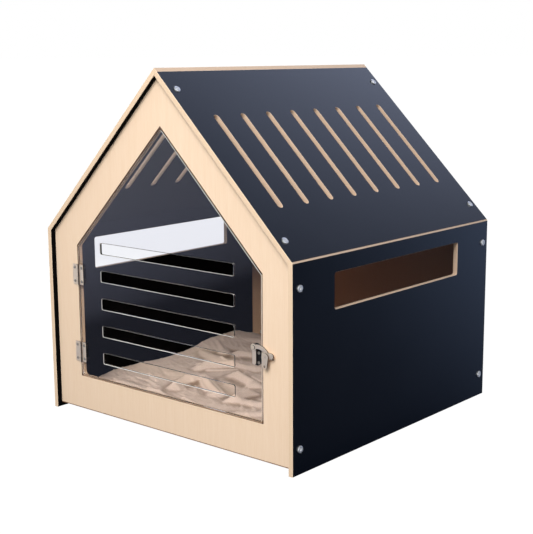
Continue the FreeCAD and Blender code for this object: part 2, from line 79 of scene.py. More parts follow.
def from_painted_shade_oval(tree, place):
    """How far a point of the floor lies from the middle of the oval of painted shade: 1 is just past its rim.
    The two axes are as long as one over the oval's reach along them, in metres."""
    centre, across_axis, along_axis = (-1.62, 1.34, 0), (2.13, 0.85, 0), (-0.47, 1.18, 0)
    offset = add_node(tree, "VectorMath", {"operation": "SUBTRACT"}, {0: place, 1: centre}).outputs[0]
    across = add_node(tree, "VectorMath", {"operation": "DOT_PRODUCT"}, {0: offset, 1: across_axis})
    along = add_node(tree, "VectorMath", {"operation": "DOT_PRODUCT"}, {0: offset, 1: along_axis})
    reach = add_node(tree, "CombineXYZ", inputs={0: across.outputs["Value"], 1: along.outputs["Value"]})
    return add_node(tree, "VectorMath", {"operation": "LENGTH"}, {0: reach.outputs[0]}).outputs["Value"]


def white_studio_vinyl():
    """White studio vinyl: dead matt, lit evenly enough to lose its edge against the white room. In an oval
    behind the crate, which shows through the left window, it is greyer with painted shade. Reflections pass
    through it."""
    material, tree, output = new_material("white_studio_vinyl")
    place = add_node(tree, "TexCoord").outputs["Object"]
    mottle = add_node(tree, "TexNoise", inputs={"Vector": place, "Scale": 1.5}).outputs["Fac"]
    colour = add_node(tree, "Mix", colour_mix,
                      {0: mottle, 6: linear("#2a2a2a"), 7: linear("#303030")}).outputs[2]
    # Painted shade: the floor's glow greys inside the oval, where light falls off behind the crate.
    lit = add_node(tree, "MapRange", {"interpolation_type": "SMOOTHSTEP"},
                   {"Value": from_painted_shade_oval(tree, place), "From Min": 0.5, "From Max": 0.92}).outputs[0]
    glow = add_node(tree, "Mix", colour_mix,
                    {0: lit, 6: linear("#eff0f5"), 7: linear("#ffffff")}).outputs[2]
    vinyl = add_node(tree, "BsdfPrincipled", inputs={
        "Base Color": colour, "Roughness": 0.95, "Specular IOR Level": 0.0,
        "Emission Color": glow, "Emission Strength": 1.0})
    path = add_node(tree, "LightPath").outputs
    bounces = add_node(tree, "Math", {"operation": "ADD"},
                       {0: path["Diffuse Depth"], 1: path["Glossy Depth"]}).outputs[0]
    let_by = add_node(tree, "BsdfTransparent")
    both = add_node(tree, "MixShader", inputs={0: bounces, 1: vinyl.outputs[0], 2: let_by.outputs[0]})
    tree.links.new(both.outputs[0], output.inputs["Surface"])
    return material


def soft_lamp(name, place, target, size, watts, colour):
    """A large square lamp that faces a point. It lights the crate but isn't mirrored in the gloss."""
    data = bpy.data.lights.new(name, "AREA")
    data.shape = "SQUARE"
    data.size = size
    data.energy = watts
    data.color = linear(colour)[:3]
    lamp = bpy.data.objects.new(name, data)
    lamp.location = place
    lamp.rotation_euler = (Vector(target) - Vector(place)).to_track_quat("-Z", "Y").to_euler()
    lamp.visible_glossy = False
    bpy.context.collection.objects.link(lamp)


def toward(azimuth, elevation):
    """The direction at an azimuth from the crate's back, turning to its right, and at an elevation."""
    turn, rise = radians(azimuth), radians(elevation)
    return sin(turn) * cos(rise), cos(turn) * cos(rise), sin(rise)


def lobe(tree, direction, centre, rim, power, colour):
    """Light that grows from nothing to its colour as a direction nears the lobe's centre. The rim is the
    cosine of the angle where it starts."""
    nearness = add_node(tree, "VectorMath", {"operation": "DOT_PRODUCT"},
                        {0: direction, 1: centre}).outputs["Value"]
    share = add_node(tree, "MapRange", inputs={"Value": nearness, "From Min": rim}).outputs[0]
    shaped = add_node(tree, "Math", {"operation": "POWER"}, {0: share, 1: power}).outputs[0]
    return add_node(tree, "VectorMath", {"operation": "SCALE"}, {0: colour, "Scale": shaped}).outputs[0]


def front_of_room(tree, direction):
    """The half of the room in front of the crate: dark at the ground, brightest a little above the horizon,
    and dim overhead. On the far left it brightens lower down."""
    parts = add_node(tree, "SeparateXYZ", inputs={0: direction}).outputs
    slant = add_node(tree, "MapRange", inputs={"Value": parts[0], "From Min": -0.8, "From Max": -0.6,
                                               "To Min": 0.04, "To Max": -0.04}).outputs[0]
    level = add_node(tree, "Math", {"operation": "ADD"}, {0: parts[2], 1: slant}).outputs[0]
    lowest, highest = -0.3, 0.7
    share = add_node(tree, "MapRange", inputs={
        "Value": level, "From Min": lowest, "From Max": highest}).outputs[0]
    colours = add_node(tree, "ValToRGB", inputs={"Fac": share})
    stops = colours.color_ramp.elements
    # Each stop: how high it is, how bright, and how much bluer than that.
    for up, brightness, blue in ((-0.3, 0.08, 1.3), (-0.215, 0.09, 1.3), (-0.2, 0.25, 1.3),
                                 (-0.14, 0.52, 1.3), (0.0, 0.8, 1.15), (0.08, 1.7, 0.96),
                                 (0.3, 2.5, 0.92), (0.4, 1.2, 0.95), (0.5, 0.25, 1.1)):
        stop = stops.new((up - lowest) / (highest - lowest))
        stop.color = (brightness * 0.94, brightness * 0.98, brightness * blue, 1)
    stops.remove(stops[-1])
    stops.remove(stops[0])
    in_front = add_node(tree, "MapRange", inputs={
        "Value": parts[1], "From Min": 0.1, "From Max": -0.4}).outputs[0]
    return add_node(tree, "VectorMath", {"operation": "SCALE"},
                    {0: colours.outputs[0], "Scale": in_front}).outputs[0]


def white_room():
    """The room round the crate: a dark ground, a bright window behind the ridge and pale walls for the gloss
    to mirror, soft light from overhead for matt faces, and plain white for the camera."""
    world = bpy.data.worlds.new("white_room")
    world.use_nodes = True
    tree = world.node_tree
    tree.nodes.clear()
    direction = add_node(tree, "TexCoord").outputs["Generated"]
    mirrored = front_of_room(tree, direction)
    window = lobe(tree, direction, toward(-20, 30), 0.756, 3.1, (1.8, 2.03, 2.78))
    far_wall = lobe(tree, direction, toward(20, 0), 0.916, 2.1, (0.62, 0.82, 1.3))
    side_wall = lobe(tree, direction, toward(95, 25), 0.7, 1.0, (1.5, 1.5, 1.55))
    dusk = (0.018, 0.024, 0.045)
    for more in (window, far_wall, side_wall, dusk):
        mirrored = add_node(tree, "VectorMath", {"operation": "ADD"}, {0: mirrored, 1: more}).outputs[0]
    overhead = lobe(tree, direction, (0, 0, 1), 0.2, 0.8, (0.85, 0.86, 0.88))
    faint = add_node(tree, "VectorMath", {"operation": "ADD"},
                     {0: overhead, 1: (0.03, 0.03, 0.03)}).outputs[0]
    path = add_node(tree, "LightPath").outputs
    room = add_node(tree, "Mix", colour_mix,
                    {0: path["Glossy Depth"], 6: linear("#ffffff"), 7: mirrored}).outputs[2]
    room = add_node(tree, "Mix", colour_mix, {0: path["Diffuse Depth"], 6: room, 7: faint}).outputs[2]
    background = add_node(tree, "Background", inputs={"Color": room, "Strength": 1.0})
    add_node(tree, "OutputWorld", inputs={"Surface": background.outputs[0]})
    return world


bpy.ops.mesh.primitive_circle_add(vertices=96, radius=400, fill_type="TRIFAN", location=(0, 0, 0))
floor = bpy.context.object
floor.name = "studio_floor"
floor.data.materials.append(white_studio_vinyl())

soft_lamp("key_lamp", (0.9, -2.5, 2.3), (0, 0, 0.3), 1.8, 133, "#fffaf4")
soft_lamp("rear_lamp", (0.3, 2.2, 2.4), (0.1, 0, 0.4), 1.6, 20, "#f2f6ff")
bpy.context.scene.world = white_room()

photo_width = 533
focal_length_px = 1126.8
camera_place = (1.3935, -1.6393, 0.6708)
view_azimuth, view_elevation, view_roll = 40.61, 10.62, -0.36
camera_data = bpy.data.cameras.new("photo_camera")
camera_data.sensor_fit = "HORIZONTAL"
camera_data.sensor_width = 36.0
camera_data.lens = camera_data.sensor_width * focal_length_px / photo_width
camera_data.clip_end = 900
camera = bpy.data.objects.new("photo_camera", camera_data)
bpy.context.collection.objects.link(camera)
camera.matrix_world = (Matrix.Translation(camera_place)
                       @ Matrix.Rotation(radians(view_azimuth), 4, "Z")
                       @ Matrix.Rotation(radians(90 - view_elevation), 4, "X")
                       @ Matrix.Rotation(radians(view_roll), 4, "Z"))
bpy.context.scene.camera = camera
bpy.context.scene.view_settings.view_transform = "Standard"


# Walls and roof slopes: 9 mm birch plywood pressed between two skins of dark blue-black laminate and cut
# on a router, so every edge and slot shows the pale plies. The laminate is satin: its reflections are soft.
tint_mix = {"data_type": "RGBA", "blend_type": "MULTIPLY"}


def dress(node, material):
    """Gives a rigid node of the frame its material."""
    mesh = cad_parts[node].data
    mesh.materials.clear()
    mesh.materials.append(material)


def depth_under(tree, place, outward, distance):
    """How far a point lies under a panel's outer face, in metres."""
    along = add_node(tree, "VectorMath", {"operation": "DOT_PRODUCT"}, {0: place, 1: outward})
    return add_node(tree, "Math", {"operation": "SUBTRACT"},
                    {0: distance, 1: along.outputs["Value"]}).outputs[0]


def looks_along(tree, normal, outward, limit):
    """1 on the faces that look along a direction or against it, and 0 on the panel's edges."""
    cosine = add_node(tree, "VectorMath", {"operation": "DOT_PRODUCT"}, {0: normal, 1: outward})
    size = add_node(tree, "Math", {"operation": "ABSOLUTE"}, {0: cosine.outputs["Value"]}).outputs[0]
    return add_node(tree, "Math", {"operation": "GREATER_THAN"}, {0: size, 1: limit}).outputs[0]


def ply_layers(tree, place, depth, ply, shade):
    """The colour of a cut plywood edge: pale plies, darker plies seen on their end grain, thin glue lines.
    shade is a tint that darkens it; on birch edges that look up or meet a doorway it is painted shade."""
    turn = add_node(tree, "Math", {"operation": "MULTIPLY"}, {0: depth, 1: pi / ply}).outputs[0]
    wave = add_node(tree, "Math", {"operation": "SINE"}, {0: turn}).outputs[0]
    end_grain = add_node(tree, "MapRange", inputs={
        "Value": wave, "From Min": -0.15, "From Max": 0.15}).outputs[0]
    wave_size = add_node(tree, "Math", {"operation": "ABSOLUTE"}, {0: wave}).outputs[0]
    glue = add_node(tree, "MapRange", inputs={"Value": wave_size, "From Min": 0.12, "From Max": 0.3,
                                              "To Min": 0.55, "To Max": 0.0}).outputs[0]
    fibre = add_node(tree, "TexNoise", inputs={"Vector": place, "Scale": 900, "Detail": 3}).outputs["Fac"]
    pale = add_node(tree, "Mix", colour_mix,
                    {0: fibre, 6: linear("#f2dfc9"), 7: linear("#e6cfb4")}).outputs[2]
    dark = add_node(tree, "Mix", colour_mix,
                    {0: fibre, 6: linear("#e4cdb2"), 7: linear("#d2b494")}).outputs[2]
    plies = add_node(tree, "Mix", colour_mix, {0: end_grain, 6: dark, 7: pale}).outputs[2]
    cut = add_node(tree, "Mix", colour_mix, {0: glue, 6: plies, 7: linear("#a98867")}).outputs[2]
    return add_node(tree, "Mix", tint_mix, {0: 1.0, 6: cut, 7: shade}).outputs[2]


def under_skin(tree, parts, inside):
    """0 on the outer side's eased arris along the eave, where the plies show, and 1 elsewhere."""
    arris_reach = 1.6 * MM
    above_eave = add_node(tree, "Math", {"operation": "SUBTRACT"}, {0: parts[2], 1: eave_height})
    from_eave = add_node(tree, "Math", {"operation": "ABSOLUTE"}, {0: above_eave.outputs[0]}).outputs[0]
    beyond = add_node(tree, "Math", {"operation": "GREATER_THAN"}, {0: from_eave, 1: arris_reach}).outputs[0]
    return add_node(tree, "Math", {"operation": "MAXIMUM"}, {0: beyond, 1: inside}).outputs[0]


def laminated_plywood(name, outward, distance):
    """Plywood with a laminate skin on each face, satin outside and dull inside. outward is the outer face's
    direction, distance its place. The edges that a router cut are a shade darker than the sawn ends."""
    material, tree, output = new_material(name)
    coordinates = add_node(tree, "TexCoord").outputs
    place, normal = coordinates["Object"], coordinates["Normal"]
    parts = add_node(tree, "SeparateXYZ", inputs={0: place}).outputs
    face = looks_along(tree, normal, outward, 0.9)
    depth = depth_under(tree, place, outward, distance)
    inside = add_node(tree, "Math", {"operation": "GREATER_THAN"},
                      {0: depth, 1: panel_thickness / 2}).outputs[0]
    skinned = add_node(tree, "Math", {"operation": "MULTIPLY"},
                       {0: face, 1: under_skin(tree, parts, inside)}).outputs[0]
    dull = add_node(tree, "Math", {"operation": "MULTIPLY"}, {0: face, 1: inside}).outputs[0]
    from_middle = add_node(tree, "Math", {"operation": "ABSOLUTE"}, {0: parts[1]}).outputs[0]
    routed = add_node(tree, "Math", {"operation": "LESS_THAN"},
                      {0: from_middle, 1: house_half_depth - MM}).outputs[0]
    edge_darkening = add_node(tree, "Mix", colour_mix,
                            {0: routed, 6: linear("#ffffff"), 7: linear("#dcd9dc")}).outputs[2]
    edge = ply_layers(tree, place, depth, 1.28 * MM, edge_darkening)
    cloud = add_node(tree, "TexNoise", inputs={"Vector": place, "Scale": 5, "Detail": 3}).outputs["Fac"]
    skin = add_node(tree, "Mix", colour_mix,
                    {0: cloud, 6: linear("#05080f"), 7: linear("#070b13")}).outputs[2]
    colour = add_node(tree, "Mix", colour_mix, {0: skinned, 6: edge, 7: skin}).outputs[2]
    wiped = add_node(tree, "TexNoise", inputs={"Vector": place, "Scale": 9, "Detail": 4}).outputs["Fac"]
    skin_roughness = add_node(tree, "MapRange", inputs={"Value": wiped, "From Min": 0.3, "From Max": 0.7,
                                                        "To Min": 0.16, "To Max": 0.2}).outputs[0]
    roughness = add_node(tree, "Mix", inputs={0: skinned, 2: 0.62, 3: skin_roughness}).outputs[0]
    peel = add_node(tree, "TexNoise", inputs={"Vector": place, "Scale": 350, "Detail": 2}).outputs["Fac"]
    bump = add_node(tree, "Bump", inputs={"Height": peel, "Strength": 0.02, "Distance": 0.1 * MM})
    satin = add_node(tree, "BsdfPrincipled", inputs={
        "Base Color": colour, "Roughness": roughness, "Specular IOR Level": 0.5, "Normal": bump.outputs[0]})
    backing = add_node(tree, "BsdfPrincipled", inputs={
        "Base Color": linear("#030304"), "Roughness": 0.7, "Specular IOR Level": 0.04})
    both = add_node(tree, "MixShader", inputs={0: dull, 1: satin.outputs[0], 2: backing.outputs[0]})
    tree.links.new(both.outputs[0], output.inputs["Surface"])
    return material


house_half_width = -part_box("left_wall")[0].x
house_half_depth = -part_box("left_wall")[0].y
panel_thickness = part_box("left_wall")[1].x + house_half_width
ridge_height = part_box("left_roof")[1].z
eave_height = ridge_height - house_half_width
slope_distance = ridge_height / sqrt(2)
for side, sign in (("left", -1), ("right", 1)):
    dress(side + "_wall", laminated_plywood(side + "_wall_laminate", (sign, 0, 0), house_half_width))
    slope = (sign / sqrt(2), 0, 1 / sqrt(2))
    dress(side + "_roof", laminated_plywood(side + "_roof_laminate", slope, slope_distance))


# Front frame, back panel and floor: birch plywood with a rotary-cut face, sanded and given a matt lacquer.
# The grain stands upright on the two gables and is faint: the pale streaks are a few millimetres wide.
def outside_doorway(tree, parts):
    """How far a point of the frame's face lies outside the doorway's straight sides, in metres. The doorway
    is the door's outline and a gap, less the rounding of the cut."""
    aside = add_node(tree, "Math", {"operation": "ABSOLUTE"}, {0: parts[0]}).outputs[0]
    rise = add_node(tree, "Math", {"operation": "ADD"}, {0: aside, 1: parts[2]}).outputs[0]
    over_apex = add_node(tree, "Math", {"operation": "SUBTRACT"}, {0: rise, 1: doorway_apex}).outputs[0]
    over_slope = add_node(tree, "Math", {"operation": "DIVIDE"}, {0: over_apex, 1: sqrt(2)}).outputs[0]
    past_side = add_node(tree, "Math", {"operation": "SUBTRACT"},
                         {0: aside, 1: doorway_half_width - 0.8 * MM}).outputs[0]
    under_sill = add_node(tree, "Math", {"operation": "SUBTRACT"},
                          {0: doorway_sill + 1.2 * MM, 1: parts[2]}).outputs[0]
    most = add_node(tree, "Math", {"operation": "MAXIMUM"}, {0: over_slope, 1: past_side}).outputs[0]
    return add_node(tree, "Math", {"operation": "MAXIMUM"}, {0: most, 1: under_sill}).outputs[0]


def rotary_cut_veneer(tree, place, grain_scale):
    """The veneer's colour, and its streaks. The grain's scale is in waves per metre along each axis."""
    stretched = add_node(tree, "Mapping", inputs={"Vector": place, "Scale": grain_scale}).outputs[0]
    bands = add_node(tree, "TexNoise", inputs={"Vector": stretched, "Scale": 1, "Detail": 5,
                                               "Distortion": 0.6}).outputs["Fac"]
    streaks = add_node(tree, "TexNoise", inputs={
        "Vector": stretched, "Scale": 7, "Detail": 3}).outputs["Fac"]
    toned = add_node(tree, "Mix", colour_mix,
                     {0: bands, 6: linear("#efd9c2"), 7: linear("#e8cfb5")}).outputs[2]
    amount = add_node(tree, "MapRange", inputs={"Value": streaks, "From Min": 0.45, "From Max": 0.8,
                                                "To Min": 0.0, "To Max": 0.35}).outputs[0]
    veneer = add_node(tree, "Mix", colour_mix, {0: amount, 6: toned, 7: linear("#ddbf9c")}).outputs[2]
    return veneer, streaks


def rising_painted_shade(tree, parts, low, high):
    """Painted shade that deepens from 140 to 210 mm above the ground, and up to 70 mm lower down away
    from the left corner."""
    lean = add_node(tree, "MapRange", inputs={"Value": parts[0], "From Min": -0.25, "From Max": -0.05,
                                              "To Min": 0.0, "To Max": 0.07}).outputs[0]
    level = add_node(tree, "Math", {"operation": "ADD"}, {0: parts[2], 1: lean}).outputs[0]
    risen = add_node(tree, "MapRange", inputs={
        "Value": level, "From Min": 0.14, "From Max": 0.21}).outputs[0]
    return add_node(tree, "Mix", colour_mix, {0: risen, 6: linear(low), 7: linear(high)}).outputs[2]


def birch_plywood(name, outward, distance, ply, grain_scale, inner_painted_shade=None, arris_width=None):
    """Lacquered birch plywood. inner_painted_shade is two colours, low and high, of painted shade on the side
    that looks into the crate. Edges that look up are darkened with painted shade, a doorway's arris and the
    front of its reveal are painted shadow of the gap round the door, and the foot is dark."""
    material, tree, output = new_material(name)
    coordinates = add_node(tree, "TexCoord").outputs
    place, normal = coordinates["Object"], coordinates["Normal"]
    parts = add_node(tree, "SeparateXYZ", inputs={0: place}).outputs
    depth = depth_under(tree, place, outward, distance)
    veneer, streaks = rotary_cut_veneer(tree, place, grain_scale)
    upward = add_node(tree, "SeparateXYZ", inputs={0: normal}).outputs[2]
    # Painted shade: edges that look up, such as the doorway's sill, are darker.
    painted_shade_facing_up = add_node(tree, "Math", {"operation": "GREATER_THAN"}, {0: upward, 1: 0.75}).outputs[0]
    edge_darkening = add_node(tree, "Mix", colour_mix,
                            {0: painted_shade_facing_up, 6: linear("#cfc4bc"), 7: linear("#aa9c92")}).outputs[2]
    # Painted shade on the side that looks into the crate, deeper higher up.
    if inner_painted_shade:
        inside = add_node(tree, "Math", {"operation": "GREATER_THAN"}, {0: depth, 1: 3 * ply}).outputs[0]
        veneer = add_node(tree, "Mix", tint_mix,
                          {0: inside, 6: veneer, 7: rising_painted_shade(tree, parts, *inner_painted_shade)}).outputs[2]
    at_foot = add_node(tree, "Math", {"operation": "LESS_THAN"},
                       {0: parts[2], 1: frame_foot + 1.6 * MM}).outputs[0]
    veneer = add_node(tree, "Mix", tint_mix, {0: at_foot, 6: veneer, 7: linear("#8c7262")}).outputs[2]
    # Painted shadow of the gap round the door: a band on the face along the doorway's arris, and the reveal's
    # first 0.8 mm.
    if arris_width:
        painted_gap_shadow = linear("#5c4b44")
        in_painted_gap_shadow = add_node(tree, "Math", {"operation": "LESS_THAN"},
                            {0: outside_doorway(tree, parts), 1: arris_width}).outputs[0]
        veneer = add_node(tree, "Mix", tint_mix, {0: in_painted_gap_shadow, 6: veneer, 7: painted_gap_shadow}).outputs[2]
        near_face = add_node(tree, "Math", {"operation": "LESS_THAN"}, {0: depth, 1: 0.8 * MM}).outputs[0]
        edge_darkening = add_node(tree, "Mix", colour_mix,
                                {0: near_face, 6: edge_darkening, 7: painted_gap_shadow}).outputs[2]
    edge = ply_layers(tree, place, depth, ply, edge_darkening)
    face = looks_along(tree, normal, outward, 0.8)
    colour = add_node(tree, "Mix", colour_mix, {0: face, 6: edge, 7: veneer}).outputs[2]
    bump = add_node(tree, "Bump", inputs={"Height": streaks, "Strength": 0.12, "Distance": 0.15 * MM})
    lacquered = add_node(tree, "BsdfPrincipled", inputs={
        "Base Color": colour, "Roughness": 0.5, "Specular IOR Level": 0.4, "Normal": bump.outputs[0]})
    tree.links.new(lacquered.outputs[0], output.inputs["Surface"])
    return material


frame_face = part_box("front_frame")[0].y
frame_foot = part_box("front_frame")[0].z
back_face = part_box("back_panel")[1].y
floor_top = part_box("floor_panel")[1].z
door_low, door_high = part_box("door_panel")
door_gap = 2 * MM
doorway_half_width = door_high.x + door_gap
doorway_sill = door_low.z - door_gap
doorway_apex = 552 * MM
upright_grain, lengthwise_grain = (150, 150, 6), (150, 6, 150)
dress("front_frame", birch_plywood("front_birch", (0, -1, 0), -frame_face, 1.4 * MM, upright_grain,
                                   arris_width=1.7 * MM))
dress("back_panel", birch_plywood("back_birch", (0, 1, 0), back_face, 1.4 * MM, upright_grain,
                                  inner_painted_shade=("#b8a492", "#6b4e43")))
dress("floor_panel", birch_plywood("floor_birch", (0, 0, 1), floor_top, 1.28 * MM, lengthwise_grain))


# Battens under the floor: planed pine, screwed to the walls' inner faces. They carry the loose floor along
# its two sides.
def planed_pine():
    """Planed softwood with broad, soft growth rings that run along the batten."""
    material, tree, output = new_material("planed_pine")
    place = add_node(tree, "TexCoord").outputs["Object"]
    stretched = add_node(tree, "Mapping", inputs={"Vector": place, "Scale": (220, 5, 220)}).outputs[0]
    rings = add_node(tree, "TexNoise", inputs={"Vector": stretched, "Scale": 1, "Detail": 3}).outputs["Fac"]
    colour = add_node(tree, "Mix", colour_mix,
                      {0: rings, 6: linear("#e3c08c"), 7: linear("#b98a52")}).outputs[2]
    bump = add_node(tree, "Bump", inputs={"Height": rings, "Strength": 0.2, "Distance": 0.2 * MM})
    shader = add_node(tree, "BsdfPrincipled", inputs={
        "Base Color": colour, "Roughness": 0.65, "Specular IOR Level": 0.3, "Normal": bump.outputs[0]})
    tree.links.new(shader.outputs[0], output.inputs["Surface"])
    return material


pine = planed_pine()
dress("floor_cleat_left", pine)
dress("floor_cleat_right", pine)


# Furniture bolts and barrel nuts: steel with a thin nickel or zinc plating, which leaves a pale, slightly
# grainy metal. The low round heads with a hexagonal socket show on the walls and slopes.
def plated_steel(name, colour, roughness, tail_colour=None):
    """Plated steel. Screws that come out behind the door may have dark tails."""
    material, tree, output = new_material(name)
    place = add_node(tree, "TexCoord").outputs["Object"]
    tone = linear(colour)
    if tail_colour:
        behind = depth_under(tree, place, (0, -1, 0), -frame_face - 4.5 * MM)
        is_tail = add_node(tree, "Math", {"operation": "GREATER_THAN"}, {0: behind, 1: 0.0}).outputs[0]
        tone = add_node(tree, "Mix", colour_mix, {0: is_tail, 6: tone, 7: linear(tail_colour)}).outputs[2]
    grain = add_node(tree, "TexNoise", inputs={"Vector": place, "Scale": 1400, "Detail": 2}).outputs["Fac"]
    shine = add_node(tree, "MapRange", inputs={"Value": grain, "From Min": 0.3, "From Max": 0.7,
                                               "To Min": roughness * 0.8,
                                               "To Max": roughness * 1.25}).outputs[0]
    bump = add_node(tree, "Bump", inputs={"Height": grain, "Strength": 0.06, "Distance": 0.05 * MM})
    shader = add_node(tree, "BsdfPrincipled", inputs={
        "Base Color": tone, "Metallic": 1.0, "Roughness": shine, "Normal": bump.outputs[0]})
    tree.links.new(shader.outputs[0], output.inputs["Surface"])
    return material


nickel = plated_steel("nickel_plated_steel", "#f1f1f0", 0.5)
zinc = plated_steel("zinc_plated_steel", "#dcdee2", 0.45)
for node in ("wall_bolts_left", "wall_bolts_right", "roof_bolts_left", "roof_bolts_right"):
    dress(node, nickel)
for node in ("barrel_nuts_front", "barrel_nuts_back", "cleat_screws"):
    dress(node, zinc)


# Door: 5 mm clear cast acrylic, cut by a router. Its faces are glossy. Its cut edges are lightly frosted, so
# the slots show as thin white lines and the outline as a pale one, warm and bright with painted light.
def cut_edges(tree, place):
    """1 where a cut edge is frosted: the slots' edges along the front arris and the right outline throughout.
    The second result is that outline alone."""
    frosted_depth = 1.2 * MM
    depth = depth_under(tree, place, (0, -1, 0), -door_low.y)
    at_front = add_node(tree, "Math", {"operation": "LESS_THAN"}, {0: depth, 1: frosted_depth}).outputs[0]
    across = add_node(tree, "SeparateXYZ", inputs={0: place}).outputs[0]
    outline = add_node(tree, "Math", {"operation": "GREATER_THAN"},
                       {0: across, 1: door_high.x - MM}).outputs[0]
    return add_node(tree, "Math", {"operation": "MAXIMUM"}, {0: at_front, 1: outline}).outputs[0], outline


def clear_acrylic():
    """Clear, polished faces and faintly sawn edges. Lamp light passes straight through."""
    material, tree, output = new_material("clear_cast_acrylic")
    coordinates = add_node(tree, "TexCoord").outputs
    place = coordinates["Object"]
    face = looks_along(tree, coordinates["Normal"], (0, -1, 0), 0.95)
    rough, outline = cut_edges(tree, place)
    smooth = add_node(tree, "Math", {"operation": "SUBTRACT"}, {0: 1.0, 1: rough}).outputs[0]
    polished = add_node(tree, "Math", {"operation": "MAXIMUM"}, {0: face, 1: smooth}).outputs[0]
    clear = add_node(tree, "BsdfPrincipled", inputs={
        "Base Color": linear("#fcfcfd"), "Roughness": 0.0, "IOR": 1.49, "Transmission Weight": 1.0,
        "Specular IOR Level": 0.35})
    for_lamps = add_node(tree, "BsdfTransparent", inputs={"Color": linear("#f4f7f8")})
    to_lamp = add_node(tree, "LightPath").outputs["Is Shadow Ray"]
    pane = add_node(tree, "MixShader", inputs={0: to_lamp, 1: clear.outputs[0], 2: for_lamps.outputs[0]})
    # The outline's warm, bright white is painted light, standing in for the lit birch beside it.
    edge_tone_and_painted_light = add_node(tree, "Mix", colour_mix,
                         {0: outline, 6: linear("#d6d6d5"), 7: linear("#fff2e6")}).outputs[2]
    saw_marks = add_node(tree, "TexNoise", inputs={"Vector": place, "Scale": 700}).outputs["Fac"]
    bump = add_node(tree, "Bump", inputs={"Height": saw_marks, "Strength": 0.1, "Distance": 0.1 * MM})
    frosted = add_node(tree, "BsdfPrincipled", inputs={
        "Base Color": edge_tone_and_painted_light, "Roughness": 0.4, "IOR": 1.49, "Normal": bump.outputs[0],
        "Transmission Weight": 0.2})
    both = add_node(tree, "MixShader", inputs={0: polished, 1: frosted.outputs[0], 2: pane.outputs[0]})
    tree.links.new(both.outputs[0], output.inputs["Surface"])
    return material


dress("door_panel", clear_acrylic())


# Hinges: small butt hinges of rolled, chromed steel on loose pins, with zinc-plated screws. The screws
# through the acrylic end in nuts behind it.
def chromed_steel(name, painted_shade_depth=None):
    """Front faces warm with painted reflection of the birch; other faces darker with painted shade. What lies
    less than painted_shade_depth in front of the door's face is painted black as painted shade."""
    material, tree, output = new_material(name)
    coordinates = add_node(tree, "TexCoord").outputs
    place = coordinates["Object"]
    polished = looks_along(tree, coordinates["Normal"], (0, -1, 0), 0.75)
    metallic = 1.0
    # Painted reflection and shade: the front faces are warmed as if mirroring the birch, the other faces
    # darkened.
    colour = add_node(tree, "Mix", colour_mix,
                      {0: polished, 6: linear("#665a54"), 7: linear("#ffecd6")}).outputs[2]
    # Painted shade: black near the face, round the plate's foot.
    if painted_shade_depth:
        height = depth_under(tree, place, (0, 1, 0), frame_face)
        metallic = add_node(tree, "Math", {"operation": "GREATER_THAN"},
                            {0: height, 1: painted_shade_depth}).outputs[0]
        colour = add_node(tree, "Mix", colour_mix, {0: metallic, 6: linear("#0b090a"), 7: colour}).outputs[2]
    scuff = add_node(tree, "TexNoise", inputs={"Vector": place, "Scale": 260, "Detail": 4}).outputs["Fac"]
    shine = add_node(tree, "MapRange", inputs={"Value": scuff, "From Min": 0.35, "From Max": 0.75,
                                               "To Min": 0.42, "To Max": 0.55}).outputs[0]
    bump = add_node(tree, "Bump", inputs={"Height": scuff, "Strength": 0.05, "Distance": 0.08 * MM})
    shader = add_node(tree, "BsdfPrincipled", inputs={
        "Base Color": colour, "Metallic": metallic, "Roughness": shine, "Normal": bump.outputs[0]})
    tree.links.new(shader.outputs[0], output.inputs["Surface"])
    return material


chrome = chromed_steel("chromed_steel")
for height in ("upper", "lower"):
    for part in ("frame_leaf", "door_leaf", "pin"):
        dress(f"{height}_hinge_{part}", chrome)
dark_tailed_zinc = plated_steel("zinc_plated_steel_with_dark_tails", "#b9b0a6", 0.6, tail_colour="#3a3638")
for node in ("hinge_wood_screws", "hinge_machine_screws", "hinge_nuts"):
    dress(node, dark_tailed_zinc)


# Latch: a chromed arm that swings from its plate on the door over a post on the frame, and the drop-shaped
# button that turns across it. The black on the plate's foot is painted shade.
dress("latch_base", chromed_steel("chromed_steel_with_painted_shade", painted_shade_depth=2 * MM))
for node in ("latch_arm", "latch_arm_rivet", "keeper_plate", "keeper_post", "turn_button"):
    dress(node, chrome)
for node in ("latch_base_screws", "latch_base_nuts", "keeper_screws"):
    dress(node, dark_tailed_zinc)


